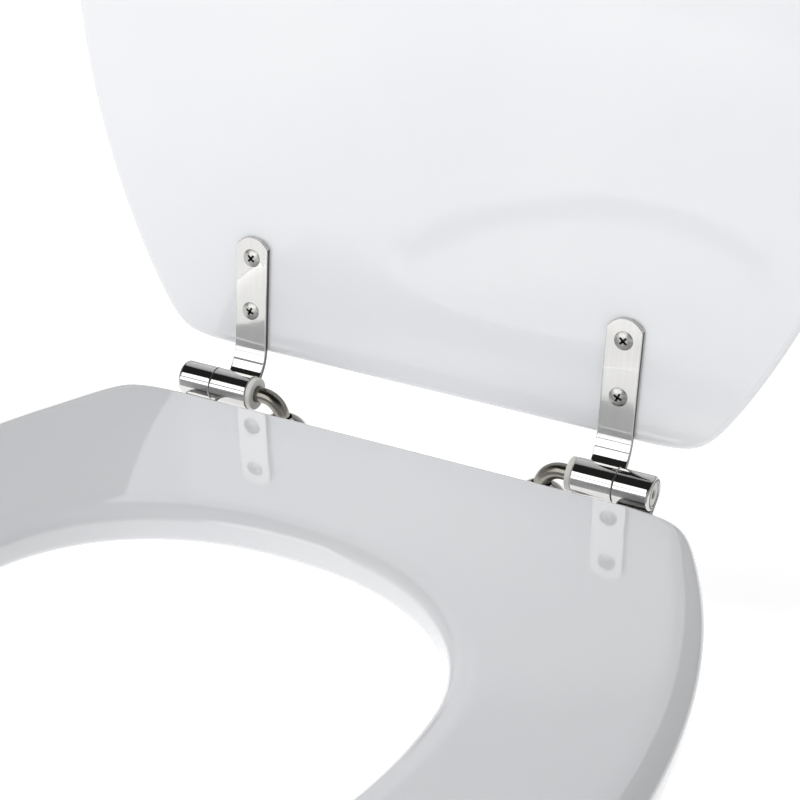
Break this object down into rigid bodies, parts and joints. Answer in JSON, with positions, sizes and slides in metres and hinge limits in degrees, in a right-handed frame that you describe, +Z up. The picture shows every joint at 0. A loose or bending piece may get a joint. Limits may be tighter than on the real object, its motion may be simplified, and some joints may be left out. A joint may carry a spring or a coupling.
{
  "type": "toilet seat with lid",
  "caption": "Toilet seat ring and flat lid on polished steel strap hinges, with bent rods that drop through the pan to threaded studs and wing nuts.",
  "frame": {"origin": "midway between the two hinge studs, on the top face of the toilet pan", "axes": "+X to the right along the hinge axis, -Y towards the front of the seat, +Z up, away from the pan"},
  "size_m": [0.408, 0.5154, 0.5374],
  "materials": {
    "lacquered_lid": "high-gloss white lacquer on moulded fibreboard",
    "lacquered_ring": "high-gloss white lacquer on moulded fibreboard",
    "polished_steel": "mirror-polished stainless steel",
    "hinge_rod_steel": "satin stainless steel",
    "screw_steel": "bright stainless steel",
    "nut_steel": "zinc-bright steel",
    "nylon_bush": "natural white nylon",
    "white_nylon_fixings": "moulded white nylon",
    "grey_rubber": "matte grey rubber",
    "buffer_rubber": "matte pale rubber"
  },
  "bodies": {
    "fixings": {"left_hinge_rod": "hinge_rod_steel", "right_hinge_rod": "hinge_rod_steel", "left_rosette": "polished_steel", "right_rosette": "polished_steel", "left_rosette_gasket": "grey_rubber", "right_rosette_gasket": "grey_rubber", "left_stud_nut": "nut_steel", "right_stud_nut": "nut_steel", "left_cone_washer": "white_nylon_fixings", "right_cone_washer": "white_nylon_fixings", "left_wing_nut": "white_nylon_fixings", "right_wing_nut": "white_nylon_fixings"},
    "lid": {"lid_panel": "lacquered_lid", "left_lid_strap": "polished_steel", "right_lid_strap": "polished_steel", "left_lid_bush": "nylon_bush", "right_lid_bush": "nylon_bush", "left_lid_screws": "screw_steel", "right_lid_screws": "screw_steel", "lid_buffers": "buffer_rubber"},
    "ring": {"seat_ring": "lacquered_ring", "left_seat_strap": "polished_steel", "right_seat_strap": "polished_steel", "left_end_bush": "nylon_bush", "right_end_bush": "nylon_bush", "left_seat_screws": "screw_steel", "right_seat_screws": "screw_steel", "ring_buffers": "buffer_rubber"}
  },
  "joints": [
    {"name": "lid_hinge", "type": "hinge", "parent": "fixings", "child": "lid", "pos_m": [0, 0, 0.024], "axis": [-1, 0, 0], "range_deg": [-94, 0]},
    {"name": "ring_hinge", "type": "hinge", "parent": "fixings", "child": "ring", "pos_m": [0, 0, 0.024], "axis": [-1, 0, 0], "range_deg": [0, 94]}
  ]
}
